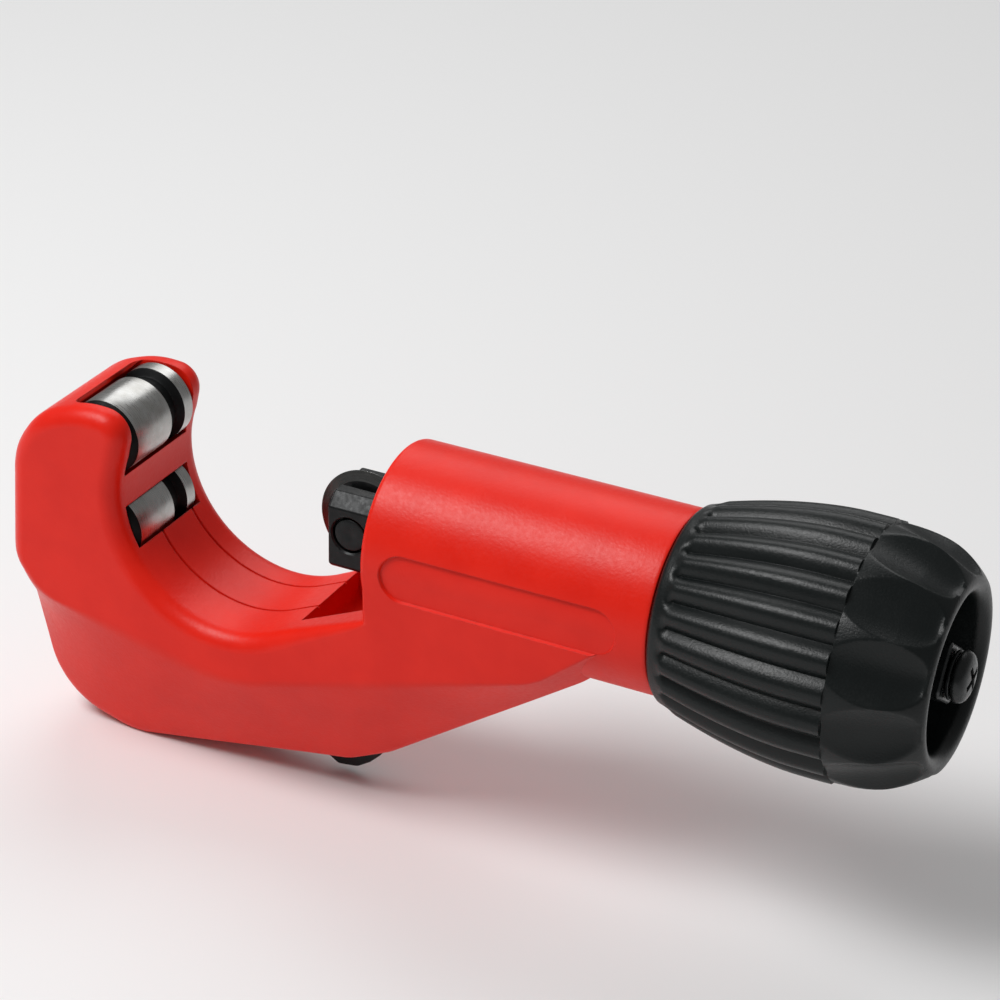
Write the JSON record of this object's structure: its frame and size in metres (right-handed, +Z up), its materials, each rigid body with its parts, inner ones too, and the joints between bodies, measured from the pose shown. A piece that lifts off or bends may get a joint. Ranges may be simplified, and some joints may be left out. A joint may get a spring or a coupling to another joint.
{
  "type": "tube cutter",
  "caption": "Hand tube cutter: cast C-frame with guide rollers, cutting wheel on a sliding block fed by a ribbed knob and spindle, and a fold-out deburring blade in the spine",
  "frame": {"origin": "middle of the bounding box in X and Y, at its lowest point", "axes": "+X along the handle from the jaw to the knob, +Y along the tube being cut, +Z up out of the open throat"},
  "size_m": [0.1518, 0.038, 0.0643],
  "materials": {
    "red_paint": "satin red enamel on a die casting, fine orange peel",
    "slide_black": "black oxide",
    "wheel_black": "black oxide, ground rim",
    "roller_steel": "ground steel",
    "pin_steel": "plain turned steel",
    "spring_steel": "tempered spring steel",
    "bush_brass": "turned brass",
    "knob_plastic": "fine-grained black moulding",
    "screw_black": "blackened",
    "blade_black": "black oxide"
  },
  "bodies": {
    "frame": {"frame_body": "red_paint", "upper_roller_pin": "pin_steel", "lower_roller_pin": "pin_steel", "inner_thrust_washer": "pin_steel", "outer_thrust_washer": "pin_steel", "spindle_wave_washer": "spring_steel", "spindle_bush": "bush_brass", "bush_grub_screw": "slide_black", "deburrer_pivot_pin": "pin_steel", "deburrer_spring": "spring_steel"},
    "knob_group": {"knob": "knob_plastic", "knob_insert": "slide_black", "knob_washer": "screw_black", "knob_screw": "screw_black", "feed_spindle": "pin_steel"},
    "slide": {"slide_block": "slide_black", "wheel_pin": "slide_black", "wheel_pin_clip": "spring_steel"},
    "wheel": {"cutting_wheel": "wheel_black"},
    "roller_upper": {"upper_roller": "roller_steel"},
    "roller_lower": {"lower_roller": "roller_steel"},
    "deburrer": {"deburrer_blade": "blade_black"}
  },
  "joints": [
    {"name": "knob_turn", "type": "hinge", "parent": "frame", "child": "knob_group", "pos_m": [0.0331, 0, 0.04531], "axis": [-1, 0, 0], "range_deg": [-1296, 4482]},
    {"name": "slide_feed", "type": "slide", "parent": "frame", "child": "slide", "axis": [-1, 0, 0], "range_m": [-0.00721, 0.02491]},
    {"name": "wheel_spin", "type": "hinge", "parent": "slide", "child": "wheel", "pos_m": [-0.01895, 0, 0.04531], "axis": [0, 1, 0], "continuous": true},
    {"name": "upper_roller_spin", "type": "hinge", "parent": "frame", "child": "roller_upper", "pos_m": [-0.05949, 0, 0.05301], "axis": [0, 1, 0], "continuous": true},
    {"name": "lower_roller_spin", "type": "hinge", "parent": "frame", "child": "roller_lower", "pos_m": [-0.05949, 0, 0.03761], "axis": [0, 1, 0], "continuous": true},
    {"name": "deburrer_fold", "type": "hinge", "parent": "frame", "child": "deburrer", "pos_m": [-0.05699, 0, 0.00471], "axis": [0, 1, 0], "range_deg": [0, 150]}
  ],
  "couplings": [
    {"joint": "slide_feed", "follows": "knob_turn", "m_per_rad": 0.00031831}
  ]
}
